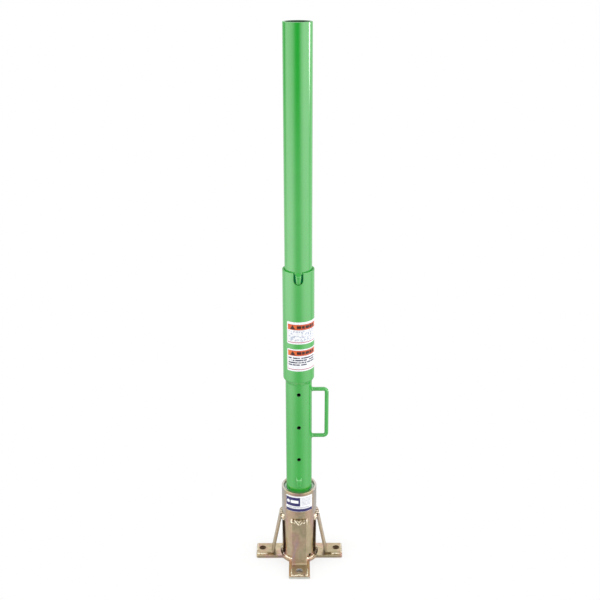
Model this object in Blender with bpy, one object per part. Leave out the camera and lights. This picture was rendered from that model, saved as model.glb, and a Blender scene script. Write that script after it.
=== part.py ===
"""Two-piece safety post standing in a bolted floor base.

The base is a steel sleeve on a cross-shaped plate, held by four bent braces and lined with plastic.
The lower mast stands in the sleeve and turns there. Its collar is the socket for the upper mast,
whose key drops into the collar's notch. The post stands on z = 0, the key side faces -Y, and the
handle points along +X.
"""

import math

import bmesh
import bpy
from mathutils import Matrix, Vector

MM = 0.001
GAP = 0.3 * MM  # kept between pieces that are welded together or rest on each other
FRONT = math.radians(-90)  # heading of -Y, the side of the keys and pin holes
QUARTER_TURN = math.pi / 2
ROUND_STEPS = 64  # facets of a turned piece

# Masts: tubes, the collar that joins them, and the keys that set their depth
MAST_OD = 76.2 * MM
MAST_WALL = 6.35 * MM
LOWER_TUBE_LENGTH = 646 * MM
UPPER_TUBE_LENGTH = 931 * MM
COLLAR_OD = 88.9 * MM
COLLAR_ID = 77.0 * MM
COLLAR_LENGTH = 336.5 * MM
COLLAR_TAPER = 8.5 * MM
COLLAR_NOSE_OD = 79.4 * MM
COLLAR_EDGE = 0.8 * MM
NOTCH_DEPTH = 34 * MM
NOTCH_WIDTH = 27 * MM
TUBE_EDGE = 1.2 * MM
UPPER_KEY = (252.5 * MM, 31.3 * MM)  # height of its underside above the mast's lower end, and length
LOWER_KEY = (254.5 * MM, 31 * MM)
KEY_TOP_WIDTH = 15.4 * MM
KEY_END_WIDTH = 10.4 * MM
KEY_REACH = 6.4 * MM
SOCKET_DEPTH = 285.4 * MM  # how far the upper mast stands in the collar

# Pin holes and carrying handle on the lower mast
PIN_HOLE = 11.1 * MM
PIN_HOLE_HEIGHTS = [347 * MM, 454 * MM, 561 * MM]
HANDLE_ROD = 11.6 * MM
HANDLE_SPAN = 153.6 * MM
HANDLE_MIDDLE = 485 * MM
HANDLE_REACH = 81.4 * MM
HANDLE_BEND = 9.5 * MM

# Floor base
PLATE_THICKNESS = 9.5 * MM
PLATE_REACH = 133 * MM
PLATE_CORNER = 4 * MM
ARM_WIDTH = 63.5 * MM
DISC_RADIUS = 59.5 * MM
BOLT_CIRCLE = 228.6 * MM
BOLT_HOLE = 20 * MM
SLEEVE_OD = 104.8 * MM
SLEEVE_WALL = 6.35 * MM
SLEEVE_LENGTH = 238 * MM
DRAIN_HOLE = 9 * MM
DRAIN_HEIGHT = 20 * MM
DRAIN_HEADING = FRONT + math.radians(38)
LINER_OD = 91.4 * MM
LINER_ID = 77.4 * MM
LINER_START = 18.2 * MM  # above the plate, so that the drain hole stays open
LINER_END = 231.5 * MM
BRACE_WIDTH = 45 * MM
BRACE_THICKNESS = 6.35 * MM
BRACE_TOP = 146 * MM
BRACE_FOOT = 85 * MM  # from the post's axis to the outside of the bend
BRACE_REACH = 128.5 * MM
BRACE_BEND = 7 * MM
BRACE_BITE = 0.5 * MM  # keeps the leaning top end clear of the sleeve

# Welds and labels
FOOT_WELD = 5.0 * MM
BRACE_WELD_BOTTOM = 136 * MM
BRACE_WELD_TOP = 157 * MM
BRACE_WELD_SIDE = 5.5 * MM  # past each edge of the brace
BRACE_WELD_SKIN = 1.6 * MM  # over the brace's face
FLANGE_WELD = 4.0 * MM
FLANGE_WELD_START = 96 * MM  # from the post's axis
HANDLE_WELD = 3.0 * MM
COLLAR_WELD = 2.2 * MM
LABEL_THICKNESS = 0.3 * MM
MAST_LABEL_HEADING = math.radians(-72.5)
UPPER_LABEL = (97 * MM, 66.5 * MM)
UPPER_LABEL_MIDDLE = 755.75 * MM
LOWER_LABEL = (97 * MM, 67.7 * MM)
LOWER_LABEL_MIDDLE = 673.15 * MM
BASE_LABEL = (86 * MM, 54 * MM)
BASE_LABEL_HEADING = FRONT
BASE_LABEL_MIDDLE = 211 * MM

# Heights that follow from the sizes above
FLOOR_OF_SLEEVE = PLATE_THICKNESS + GAP
LOWER_MAST_BOTTOM = FLOOR_OF_SLEEVE
COLLAR_TOP = LOWER_TUBE_LENGTH + GAP + SOCKET_DEPTH  # above the lower mast's own bottom
UPPER_MAST_BOTTOM = LOWER_MAST_BOTTOM + LOWER_TUBE_LENGTH + GAP


def clear_scene():
    for thing in list(bpy.data.objects):
        bpy.data.objects.remove(thing)


def material(name, colour, roughness, metallic):
    made = bpy.data.materials.new(name)
    made.use_nodes = True
    shader = made.node_tree.nodes["Principled BSDF"]
    shader.inputs["Base Color"].default_value = (*colour, 1)
    shader.inputs["Roughness"].default_value = roughness
    shader.inputs["Metallic"].default_value = metallic
    return made


def body(name, height):
    """An empty on the post's axis that carries the pieces which move together."""
    frame = bpy.data.objects.new(name, None)
    frame.location.z = height
    bpy.context.scene.collection.objects.link(frame)
    return frame


def piece(name, bm, finish=None, parent=None):
    """Turns a bmesh into a named object, smooth on its round faces."""
    bmesh.ops.recalc_face_normals(bm, faces=bm.faces)
    mesh = bpy.data.meshes.new(name)
    bm.to_mesh(mesh)
    bm.free()
    mesh.shade_smooth()
    mesh.set_sharp_from_angle(angle=math.radians(35))
    made = bpy.data.objects.new(name, mesh)
    bpy.context.scene.collection.objects.link(made)
    made.parent = parent
    if finish:
        mesh.materials.append(finish)
    return made


def carve(solid, cutters):
    """Cuts the cutters out of a solid, keeps the result as its mesh and drops the cutters."""
    finish = solid.data.materials[:]
    for cutter in cutters:
        cutter.parent = solid.parent
        cut = solid.modifiers.new(cutter.name, "BOOLEAN")
        cut.operation = "DIFFERENCE"
        cut.solver = "EXACT"
        cut.object = cutter
    graph = bpy.context.evaluated_depsgraph_get()
    carved = bpy.data.meshes.new_from_object(solid.evaluated_get(graph))
    carved.name = solid.name
    solid.modifiers.clear()
    solid.data = carved
    if not carved.materials:
        for slot in finish:
            carved.materials.append(slot)
    carved.set_sharp_from_angle(angle=math.radians(35))
    for cutter in cutters:
        bpy.data.objects.remove(cutter)
    return solid


def turned(profile, steps=ROUND_STEPS):
    """A closed outline of (radius, height) points turned once round Z."""
    bm = bmesh.new()
    start = [bm.verts.new((radius, 0, height)) for radius, height in profile]
    edges = [bm.edges.new(pair) for pair in zip(start, start[1:] + start[:1])]
    about = {"cent": (0, 0, 0), "axis": (0, 0, 1), "angle": 2 * math.pi}
    bmesh.ops.spin(bm, geom=start + edges, steps=steps, use_merge=True, **about)
    return bm


def tube_outline(inner, outer, bottom, top):
    return [(inner, bottom), (outer, bottom), (outer, top), (inner, top)]


def prism(outline, depth):
    """An XY outline raised along Z."""
    bm = bmesh.new()
    base = bm.faces.new([bm.verts.new((x, y, 0)) for x, y in outline])
    raised = bmesh.ops.extrude_face_region(bm, geom=[base])["geom"]
    moved = [v for v in raised if isinstance(v, bmesh.types.BMVert)]
    bmesh.ops.translate(bm, vec=(0, 0, depth), verts=moved)
    return bm


def loft(rings):
    """Rings of points, each as long as the others, joined in order and closed at both ends."""
    bm = bmesh.new()
    rows = [[bm.verts.new(point) for point in ring] for ring in rings]
    for low, high in zip(rows, rows[1:]):
        for i in range(len(low)):
            j = (i + 1) % len(low)
            bm.faces.new((low[i], low[j], high[j], high[i]))
    bm.faces.new(rows[0])
    bm.faces.new(rows[-1])
    return bm


def rod(diameter, start, end, steps=24):
    """A round bar between two points, used as a cutter."""
    start, end = Vector(start), Vector(end)
    axis = end - start
    turn = axis.to_track_quat("Z", "Y").to_matrix().to_4x4()
    place = Matrix.Translation((start + end) / 2) @ turn
    size = {"radius1": diameter / 2, "radius2": diameter / 2, "depth": axis.length}
    bm = bmesh.new()
    bmesh.ops.create_cone(bm, cap_ends=True, segments=steps, matrix=place, **size)
    return piece("cutter_rod", bm)


def rounded_path(corners, radii, steps=6):
    """A path of (x, y) corners with an arc of the given radius at each inner corner."""
    path = [Vector(corners[0])]
    for before, corner, after, radius in zip(corners, corners[1:], corners[2:], radii):
        corner = Vector(corner)
        back = (Vector(before) - corner).normalized()
        ahead = (Vector(after) - corner).normalized()
        half = back.angle(ahead) / 2
        centre = corner + (back + ahead).normalized() * radius / math.sin(half)
        reach = radius / math.tan(half)
        first = (corner + back * reach) - centre
        last = (corner + ahead * reach) - centre
        sweep = first.angle_signed(last)
        for step in range(steps + 1):
            path.append(centre + Matrix.Rotation(-sweep * step / steps, 2) @ first)
    path.append(Vector(corners[-1]))
    return path


def offset_path(path, distance):
    """The path moved sideways, its joints mitred."""
    moved = []
    for i, point in enumerate(path):
        ways = []
        if i > 0:
            ways.append((point - path[i - 1]).normalized())
        if i < len(path) - 1:
            ways.append((path[i + 1] - point).normalized())
        way = sum(ways, Vector((0, 0))).normalized()
        side = Vector((-way.y, way.x))
        moved.append(point + side * distance / max(0.2, side.dot(Vector((-ways[0].y, ways[0].x)))))
    return moved


def on_circle(radius, heading, height):
    return (radius * math.cos(heading), radius * math.sin(heading), height)


# ---- floor base ----


def plate_outline():
    """A disc with four square-ended arms, counter-clockwise."""
    half = ARM_WIDTH / 2
    root = math.asin(half / DISC_RADIUS)
    outline = []
    for arm in range(4):
        turn = Matrix.Rotation(arm * QUARTER_TURN, 2)
        tip = rounded_path(
            [(DISC_RADIUS * math.cos(root), -half), (PLATE_REACH, -half), (PLATE_REACH, half), (0, half)],
            [PLATE_CORNER, PLATE_CORNER],
            steps=4,
        )[:-1]
        outline += [turn @ point for point in tip]
        between = QUARTER_TURN - 2 * root
        for step in range(5):
            heading = arm * QUARTER_TURN + root + between * step / 5
            outline.append(Vector(on_circle(DISC_RADIUS, heading, 0)[:2]))
    return outline


def base_plate(steel, parent):
    plate = piece("base_plate", prism(plate_outline(), PLATE_THICKNESS), steel, parent)
    holes = []
    for arm in range(4):
        x, y, _ = on_circle(BOLT_CIRCLE / 2, arm * QUARTER_TURN, 0)
        holes.append(rod(BOLT_HOLE, (x, y, -PLATE_THICKNESS), (x, y, 2 * PLATE_THICKNESS)))
    carve(plate, holes)


def base_sleeve(steel, parent):
    outer = SLEEVE_OD / 2
    top = FLOOR_OF_SLEEVE + SLEEVE_LENGTH
    outline = tube_outline(outer - SLEEVE_WALL, outer, FLOOR_OF_SLEEVE, top)
    sleeve = piece("base_sleeve", turned(outline), steel, parent)
    inside, outside = (on_circle(r, DRAIN_HEADING, DRAIN_HEIGHT) for r in (LINER_ID / 2, SLEEVE_OD))
    carve(sleeve, [rod(DRAIN_HOLE, inside, outside, 16)])


def brace_path():
    """The middle line of a brace in (x, z): along the plate, up the bend, and in to the sleeve."""
    half = BRACE_THICKNESS / 2
    lying = PLATE_THICKNESS + GAP + half
    wall = SLEEVE_OD / 2 + GAP
    lean = math.atan((BRACE_FOOT - wall - BRACE_THICKNESS) / (BRACE_TOP - lying))
    corners = [
        (BRACE_REACH, lying),
        (BRACE_FOOT - half, lying),
        (wall + half / math.cos(lean) + BRACE_BITE, BRACE_TOP),
    ]
    return rounded_path(corners, [BRACE_BEND])


def bent_bar(path, thickness, width):
    """A flat bar along an (x, z) path, its width centred on the XZ plane."""
    outline = offset_path(path, thickness / 2) + offset_path(path, -thickness / 2)[::-1]
    return stand_up(prism(outline, width), width)


def stand_up(bm, width):
    """Turns an (x, z) prism upright, its depth centred on the XZ plane."""
    turn = Matrix.Rotation(QUARTER_TURN, 4, "X") @ Matrix.Translation((0, 0, -width / 2))
    bmesh.ops.transform(bm, matrix=turn, verts=bm.verts)
    return bm


def brace_mesh():
    """A flat bar that lies on the plate, bends up, and leans in until its top end meets the sleeve."""
    brace = piece("brace", bent_bar(brace_path(), BRACE_THICKNESS, BRACE_WIDTH))
    x = BOLT_CIRCLE / 2
    carve(brace, [rod(BOLT_HOLE, (x, 0, 0), (x, 0, 3 * PLATE_THICKNESS))])
    return taken_mesh(brace)


def taken_mesh(made):
    """The mesh of an object that is then dropped."""
    mesh = made.data
    bpy.data.objects.remove(made)
    return mesh


def flange_weld_mesh():
    """A bead on the plate round the three free sides of a brace's flange."""
    side = BRACE_WIDTH / 2 + GAP
    end = BRACE_REACH + GAP
    floor = PLATE_THICKNESS + GAP
    crown = 0.45  # share of the way out to the bead's outer edge
    shoulder = 0.6  # height of the crown, as a share of the bead's
    corners = [(FLANGE_WELD_START, -side), (end, -side), (end, side), (FLANGE_WELD_START, side)]
    inner = [Vector(corner) for corner in corners]
    outer = offset_path(inner, -FLANGE_WELD)
    rings = []
    for near, far in zip(inner, outer):
        top = near.lerp(far, crown)
        section = [(near, 0), (far, 0), (top, shoulder * FLANGE_WELD), (near, FLANGE_WELD)]
        rings.append([(*point, floor + height) for point, height in section])
    return taken_mesh(piece("weld", loft(rings)))


def brace_weld_mesh():
    """Weld metal over a brace's top end, and between its edges and the sleeve."""
    width = BRACE_WIDTH + 2 * BRACE_WELD_SIDE
    path = brace_path()
    end, way = path[-1], (path[-1] - path[-2]).normalized()
    face = end.x + BRACE_THICKNESS / 2 + BRACE_WELD_SKIN
    lean = -way.x / way.y
    low, high = BRACE_WELD_BOTTOM, BRACE_WELD_TOP
    outline = [
        (0, low),
        (face + lean * (BRACE_TOP - low) + GAP, low),
        (face + GAP, BRACE_TOP),
        (SLEEVE_OD / 2 + BRACE_WELD_SKIN, high),
        (0, high),
    ]
    weld = piece("weld", stand_up(prism(outline, width), width))
    sleeve = rod(SLEEVE_OD + 2 * GAP, (0, 0, 0), (0, 0, 2 * BRACE_TOP), ROUND_STEPS)
    longer = path[:-1] + [end + way * GAP]
    bar = piece("cutter_bar", bent_bar(longer, BRACE_THICKNESS + 2 * GAP, BRACE_WIDTH + 2 * GAP))
    carve(weld, [sleeve, bar])
    return taken_mesh(weld)


def around_the_sleeve(stem, mesh, finish, parent):
    """One copy of a mesh on each arm of the plate."""
    mesh.materials.clear()
    mesh.materials.append(finish)
    for turns, side in enumerate(["right", "back", "left", "front"]):
        copy = bpy.data.objects.new(f"{stem}_{side}", mesh)
        copy.rotation_euler.z = turns * QUARTER_TURN
        copy.parent = parent
        bpy.context.scene.collection.objects.link(copy)


def floor_base(steel, weld, label, parent):
    base_plate(steel, parent)
    base_sleeve(steel, parent)
    outer = SLEEVE_OD / 2
    fillet = [
        (outer + GAP, FLOOR_OF_SLEEVE),
        (outer + FOOT_WELD, FLOOR_OF_SLEEVE),
        (outer + FOOT_WELD / 2, FLOOR_OF_SLEEVE + FOOT_WELD / 2),
        (outer + GAP, FLOOR_OF_SLEEVE + FOOT_WELD),
    ]
    piece("sleeve_foot_weld", turned(fillet), weld, parent)
    around_the_sleeve("brace", brace_mesh(), steel, parent)
    around_the_sleeve("brace_weld", brace_weld_mesh(), weld, parent)
    around_the_sleeve("flange_weld", flange_weld_mesh(), weld, parent)
    curved_label("base_label", outer, BASE_LABEL, BASE_LABEL_HEADING, BASE_LABEL_MIDDLE, label, parent)


def sleeve_liner(plastic, parent):
    outline = tube_outline(LINER_ID / 2, LINER_OD / 2, LINER_START, LINER_END)
    piece("sleeve_liner", turned(outline), plastic, parent)


# ---- masts ----


def curved_label(name, radius, size, heading, middle, finish, parent):
    """A thin sheet on a round surface, its width measured round the curve."""
    width, height = size
    spread = width / radius
    steps = 12
    inner = radius + GAP
    outer = inner + LABEL_THICKNESS
    rings = []
    for step in range(steps + 1):
        at = heading + spread * (step / steps - 0.5)
        bottom, top = middle - height / 2, middle + height / 2
        rings.append([on_circle(r, at, z) for r, z in tube_outline(inner, outer, bottom, top)])
    return piece(name, loft(rings), finish, parent)


def key(name, underside, length, finish, parent):
    """A half-round lug that narrows downwards, its back shaped to the mast."""
    back = MAST_OD / 2 + GAP
    levels = [  # share of the key's length, share of its reach
        (0, 0.55),
        (0.05, 0.85),
        (0.13, 1),
        (0.8, 1),
        (1, 0.2),
    ]
    steps = 10
    rings = []
    for up, out in levels:
        half_width = (KEY_END_WIDTH + (KEY_TOP_WIDTH - KEY_END_WIDTH) * up) / 2
        half_width *= 0.5 + 0.5 * out if up < 0.5 else 1
        edge = math.asin(half_width / back)
        front = []
        behind = []
        for step in range(steps + 1):
            share = 2 * step / steps - 1
            bulge = 0.25 + 0.75 * math.sqrt(1 - share * share)
            heading = FRONT + edge * share
            height = underside + length * up
            front.append(on_circle(back + KEY_REACH * out * bulge, heading, height))
            behind.append(on_circle(back, heading, height))
        rings.append(front + behind[::-1])
    return piece(name, loft(rings), finish, parent)


def notch_cutter():
    """A slot open at the top with a round floor, through the collar's front wall."""
    half = NOTCH_WIDTH / 2
    middle = COLLAR_TOP - NOTCH_DEPTH + half
    outline = [(-half, COLLAR_TOP + half), (half, COLLAR_TOP + half)]
    steps = 12
    for step in range(steps + 1):
        turn = math.pi * step / steps
        outline.append((half * math.cos(turn), middle - half * math.sin(turn)))
    bm = prism(outline, COLLAR_OD)
    bmesh.ops.rotate(bm, cent=(0, 0, 0), matrix=Matrix.Rotation(QUARTER_TURN, 3, "X"), verts=bm.verts)
    return piece("cutter_notch", bm)


def collar(paint, parent):
    outer, inner, nose = COLLAR_OD / 2, COLLAR_ID / 2, COLLAR_NOSE_OD / 2
    bottom = COLLAR_TOP - COLLAR_LENGTH
    outline = [
        (inner, bottom),
        (nose, bottom),
        (outer - COLLAR_EDGE, bottom + COLLAR_TAPER * 0.75),
        (outer, bottom + COLLAR_TAPER),
        (outer, COLLAR_TOP - COLLAR_EDGE),
        (outer - COLLAR_EDGE, COLLAR_TOP),
        (inner, COLLAR_TOP),
    ]
    carve(piece("collar", turned(outline), paint, parent), [notch_cutter()])
    tube = MAST_OD / 2
    fillet = [(tube + GAP, bottom - GAP), (tube + GAP, bottom - COLLAR_WELD), (nose, bottom - GAP)]
    piece("collar_weld", turned(fillet), paint, parent)


def lower_tube(paint, parent):
    outer = MAST_OD / 2
    outline = tube_outline(outer - MAST_WALL, outer, 0, LOWER_TUBE_LENGTH)
    tube = piece("lower_tube", turned(outline), paint, parent)
    carve(tube, [rod(PIN_HOLE, (0, -MAST_OD, z), (0, MAST_OD, z), 16) for z in PIN_HOLE_HEIGHTS])


def handle(paint, parent):
    """A bent rod from the mast's side out and back, with a weld ring at each end."""
    foot = MAST_OD / 2 + GAP
    low = HANDLE_MIDDLE - HANDLE_SPAN / 2
    high = HANDLE_MIDDLE + HANDLE_SPAN / 2
    corners = [(foot, low), (HANDLE_REACH, low), (HANDLE_REACH, high), (foot, high)]
    path = rounded_path(corners, [HANDLE_BEND, HANDLE_BEND])
    curve = bpy.data.curves.new("handle", "CURVE")
    curve.dimensions = "3D"
    curve.bevel_depth = HANDLE_ROD / 2
    curve.bevel_resolution = 3
    curve.use_fill_caps = True
    spline = curve.splines.new("POLY")
    spline.points.add(len(path) - 1)
    for point, (x, z) in zip(spline.points, path):
        point.co = (x, 0, z, 1)
    curve.materials.append(paint)
    bar = bpy.data.objects.new("handle", curve)
    bar.parent = parent
    bpy.context.scene.collection.objects.link(bar)
    for end, height in (("bottom", low), ("top", high)):
        handle_weld(f"handle_weld_{end}", foot, height, paint, parent)


def handle_weld(name, foot, height, paint, parent):
    """A ring of weld metal round a handle's end, against the mast."""
    bar = HANDLE_ROD / 2 + GAP
    reach = math.sqrt((MAST_OD / 2) ** 2 - (bar + HANDLE_WELD) ** 2)
    outline = [(bar, reach), (bar + HANDLE_WELD, reach), (bar, foot + HANDLE_WELD)]
    bm = turned(outline, 24)
    lay_down = Matrix.Translation((0, 0, height)) @ Matrix.Rotation(QUARTER_TURN, 4, "Y")
    bmesh.ops.transform(bm, matrix=lay_down, verts=bm.verts)
    ring = piece(name, bm, paint, parent)
    mast = rod(MAST_OD + 2 * GAP, (0, 0, -MAST_OD), (0, 0, LOWER_TUBE_LENGTH), ROUND_STEPS)
    carve(ring, [mast])


def lower_mast(paint, label, parent):
    lower_tube(paint, parent)
    collar(paint, parent)
    handle(paint, parent)
    key("lower_key", *LOWER_KEY, paint, parent)
    radius = COLLAR_OD / 2
    for name, size, middle in (
        ("mast_label_lower", LOWER_LABEL, LOWER_LABEL_MIDDLE),
        ("mast_label_upper", UPPER_LABEL, UPPER_LABEL_MIDDLE),
    ):
        curved_label(name, radius, size, MAST_LABEL_HEADING, middle, label, parent)


def upper_mast(paint, parent):
    outer = MAST_OD / 2
    inner = outer - MAST_WALL
    outline = [
        (inner, 0),
        (outer - TUBE_EDGE, 0),
        (outer, TUBE_EDGE),
        (outer, UPPER_TUBE_LENGTH - TUBE_EDGE),
        (outer - TUBE_EDGE, UPPER_TUBE_LENGTH),
        (inner, UPPER_TUBE_LENGTH),
    ]
    piece("upper_tube", turned(outline), paint, parent)
    key("upper_key", *UPPER_KEY, paint, parent)


def main():
    clear_scene()
    green = material("green_paint", (0.10, 0.48, 0.12), 0.28, 0.0)
    zinc = material("yellow_zinc", (0.52, 0.45, 0.26), 0.34, 1.0)
    weld = material("zinc_weld", (0.62, 0.55, 0.34), 0.42, 1.0)
    plastic = material("grey_plastic", (0.72, 0.74, 0.74), 0.45, 0.0)
    label = material("label_film", (0.85, 0.86, 0.88), 0.4, 0.0)
    floor_base(zinc, weld, label, body("base", 0))
    sleeve_liner(plastic, body("liner", FLOOR_OF_SLEEVE))
    lower_mast(green, label, body("lower_mast", LOWER_MAST_BOTTOM))
    upper_mast(green, body("upper_mast", UPPER_MAST_BOTTOM))


main()
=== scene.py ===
"""Finished look of a two-piece safety post in a bolted floor base.

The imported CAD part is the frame. Each CAD node is stood in for by a finer mesh in the same place, with
rounded edges, rippled welds and procedural finishes. A small studio and a camera follow.
"""

import math
import random

import bmesh
import bpy
from mathutils import Matrix, Vector


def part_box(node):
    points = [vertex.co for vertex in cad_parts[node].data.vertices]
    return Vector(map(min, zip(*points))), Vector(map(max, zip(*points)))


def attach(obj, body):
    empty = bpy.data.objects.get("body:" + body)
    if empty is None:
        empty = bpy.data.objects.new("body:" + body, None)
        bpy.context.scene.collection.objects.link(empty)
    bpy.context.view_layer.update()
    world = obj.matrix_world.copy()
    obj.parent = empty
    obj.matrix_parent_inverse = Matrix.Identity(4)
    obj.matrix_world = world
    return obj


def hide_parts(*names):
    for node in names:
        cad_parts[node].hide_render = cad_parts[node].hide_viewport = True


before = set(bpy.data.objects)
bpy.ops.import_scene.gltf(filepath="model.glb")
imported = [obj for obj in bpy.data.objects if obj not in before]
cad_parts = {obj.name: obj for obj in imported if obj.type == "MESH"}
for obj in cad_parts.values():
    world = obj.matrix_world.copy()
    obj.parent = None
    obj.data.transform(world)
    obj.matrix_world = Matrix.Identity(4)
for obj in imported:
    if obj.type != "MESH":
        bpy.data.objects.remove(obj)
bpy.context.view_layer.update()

MM = 0.001
FRONT = math.radians(-90)  # heading of -Y
QUARTER_TURN = math.pi / 2
SIDES = ["right", "back", "left", "front"]  # in order of heading, from +X
FINE = 160  # facets round a turned piece
TOUCH = 0.15 * MM  # how far a piece stands off the one it lies on


def low(node):
    return Vector(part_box(node)[0])


def high(node):
    return Vector(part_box(node)[1])


# Sizes that the frame gives
MAST_RADIUS = high("upper_tube").x
COLLAR_RADIUS = high("collar").x
COLLAR_BOTTOM, COLLAR_TOP = low("collar").z, high("collar").z
SLEEVE_RADIUS = high("base_sleeve").x
SLEEVE_BOTTOM, SLEEVE_TOP = low("base_sleeve").z, high("base_sleeve").z
PLATE_TOP = high("base_plate").z
PLATE_REACH = high("base_plate").x
BRACE_WIDTH = 2 * high("brace_right").y
BRACE_TOP = high("brace_right").z
BRACE_REACH = high("brace_right").x

# Sizes inside the pieces, which their boxes don't give
MAST_WALL = 6.35 * MM
COLLAR_BORE = 38.5 * MM
COLLAR_NOSE = 39.7 * MM
COLLAR_TAPER = 8.0 * MM
NOTCH_WIDTH = 27 * MM
NOTCH_DEPTH = 34 * MM
PIN_HOLE = 11.1 * MM
PIN_HOLE_HEIGHTS = [347 * MM, 454 * MM, 561 * MM]  # above the lower tube's end
SLEEVE_WALL = 6.35 * MM
DRAIN_HOLE = 9 * MM
DRAIN_HEIGHT = 20 * MM
DRAIN_HEADING = FRONT + math.radians(38)
LINER_BORE = 38.7 * MM
PLATE_ARM = 63.5 * MM
PLATE_DISC = 59.5 * MM
BOLT_CIRCLE = 114.3 * MM
BOLT_HOLE = 20 * MM
BRACE_THICKNESS = 6.35 * MM
BRACE_FOOT = 85 * MM
BRACE_BEND = 7 * MM
BRACE_WELD_HALF, BRACE_WELD_MIDDLE = 28 * MM, 144.5 * MM
BRACE_WELD_TALL, BRACE_WELD_DEEP = 11 * MM, 4.4 * MM  # half its height and half its depth
BRACE_WELD_TAPER = 7 * MM  # over which its ends close
CHEVRON_PITCH, CHEVRON_SLOPE = 8.6 * MM, 1.25  # across the bead, and rise over run
CHEVRON_SHIFT, CHEVRON_STAND = 0.5 * MM, 2.8 * MM
CHEVRON_SPREAD = 19 * MM  # from the middle, before the round blobs at the ends
HANDLE_ROD = 11.6 * MM
HANDLE_BEND = 9.5 * MM


# ---- meshes ----


def piece(name, bm, finish, body, slot, *nodes, crease=35):
    """A bmesh made into a shown piece that rides on a body and stands for CAD nodes."""
    made = plain(name, bm, crease)
    dress(made, finish, body, slot, *nodes)
    return made


def plain(name, bm, crease=35):
    bmesh.ops.recalc_face_normals(bm, faces=bm.faces)
    mesh = bpy.data.meshes.new(name)
    bm.to_mesh(mesh)
    bm.free()
    mesh.shade_smooth()
    mesh.set_sharp_from_angle(angle=math.radians(crease))
    made = bpy.data.objects.new(name, mesh)
    bpy.context.scene.collection.objects.link(made)
    return made


def dress(made, finish, body, slot, *nodes):
    made.data.materials.clear()
    made.data.materials.append(finish)
    level = made.modifiers.new("flat_walls", "WEIGHTED_NORMAL")
    level.keep_sharp = True
    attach(made, body)
    if nodes:
        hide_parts(*nodes)


def settle(made, crease=35):
    """Makes what the object's modifiers give its own mesh."""
    graph = bpy.context.evaluated_depsgraph_get()
    mesh = bpy.data.meshes.new_from_object(made.evaluated_get(graph))
    mesh.name = made.name
    made.modifiers.clear()
    made.data = mesh
    mesh.shade_smooth()
    mesh.set_sharp_from_angle(angle=math.radians(crease))


def carve(made, cutters, edge):
    """Cuts the cutters away, and rounds the edges that this leaves."""
    for cutter in cutters:
        cut = made.modifiers.new("cut", "BOOLEAN")
        cut.operation = "DIFFERENCE"
        cut.solver = "EXACT"
        cut.object = cutter
    settle(made)
    for cutter in cutters:
        bpy.data.objects.remove(cutter)
    soften(made, edge)


def soften(made, width, segments=3):
    bevel = made.modifiers.new("soft_edges", "BEVEL")
    bevel.width = width
    bevel.segments = segments
    bevel.limit_method = "ANGLE"
    bevel.angle_limit = math.radians(40)
    settle(made, crease=50)


def turned(outline):
    """A closed outline of (radius, height) points turned once round Z."""
    bm = bmesh.new()
    start = [bm.verts.new((radius, 0, height)) for radius, height in outline]
    edges = [bm.edges.new(pair) for pair in zip(start, start[1:] + start[:1])]
    whole_turn = {"cent": (0, 0, 0), "axis": (0, 0, 1), "angle": 2 * math.pi, "use_merge": True}
    bmesh.ops.spin(bm, geom=start + edges, steps=FINE, **whole_turn)
    return bm


def arc_at(before, corner, after, radius, steps):
    """Points of an arc that rounds a corner of a flat outline."""
    before, corner, after = Vector(before), Vector(corner), Vector(after)
    back = (before - corner).normalized()
    ahead = (after - corner).normalized()
    half = back.angle(ahead) / 2
    centre = corner + (back + ahead).normalized() * radius / math.sin(half)
    reach = radius / math.tan(half)
    first = corner + back * reach - centre
    last = corner + ahead * reach - centre
    sweep = first.angle_signed(last)
    return [centre + Matrix.Rotation(-sweep * step / steps, 2) @ first for step in range(steps + 1)]


def rounded(corners):
    """A closed outline of (x, y, radius) corners, each rounded by its radius."""
    points = []
    for i, (x, y, radius) in enumerate(corners):
        before = corners[i - 1][:2]
        after = corners[(i + 1) % len(corners)][:2]
        points += arc_at(before, (x, y), after, radius, 5) if radius else [Vector((x, y))]
    return points


def rounded_path(corners, radii, steps=10):
    """An open path of (x, y) corners, its inner corners rounded."""
    path = [Vector(corners[0])]
    for before, corner, after, radius in zip(corners, corners[1:], corners[2:], radii):
        path += arc_at(before, corner, after, radius, steps)
    path.append(Vector(corners[-1]))
    return path


def beside(path, distance):
    """A flat path moved sideways, its joints mitred."""
    moved = []
    for i, point in enumerate(path):
        ways = []
        if i > 0:
            ways.append((point - path[i - 1]).normalized())
        if i < len(path) - 1:
            ways.append((path[i + 1] - point).normalized())
        way = sum(ways, Vector((0, 0))).normalized()
        side = Vector((-way.y, way.x))
        moved.append(point + side * distance / max(0.2, side.dot(Vector((-ways[0].y, ways[0].x)))))
    return moved


def prism(outline, depth):
    bm = bmesh.new()
    base = bm.faces.new([bm.verts.new((x, y, 0)) for x, y in outline])
    raised = bmesh.ops.extrude_face_region(bm, geom=[base])["geom"]
    moved = [v for v in raised if isinstance(v, bmesh.types.BMVert)]
    bmesh.ops.translate(bm, vec=(0, 0, depth), verts=moved)
    return bm


def loft(rings, closed=False):
    """Rings of points joined in order, capped at both ends or joined into a loop."""
    bm = bmesh.new()
    rows = [[bm.verts.new(point) for point in ring] for ring in rings]
    pairs = list(zip(rows, rows[1:] + rows[:1] if closed else rows[1:]))
    for near, far in pairs:
        for i in range(len(near)):
            j = (i + 1) % len(near)
            bm.faces.new((near[i], near[j], far[j], far[i]))
    if not closed:
        bm.faces.new(rows[0])
        bm.faces.new(rows[-1])
    return bm


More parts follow.
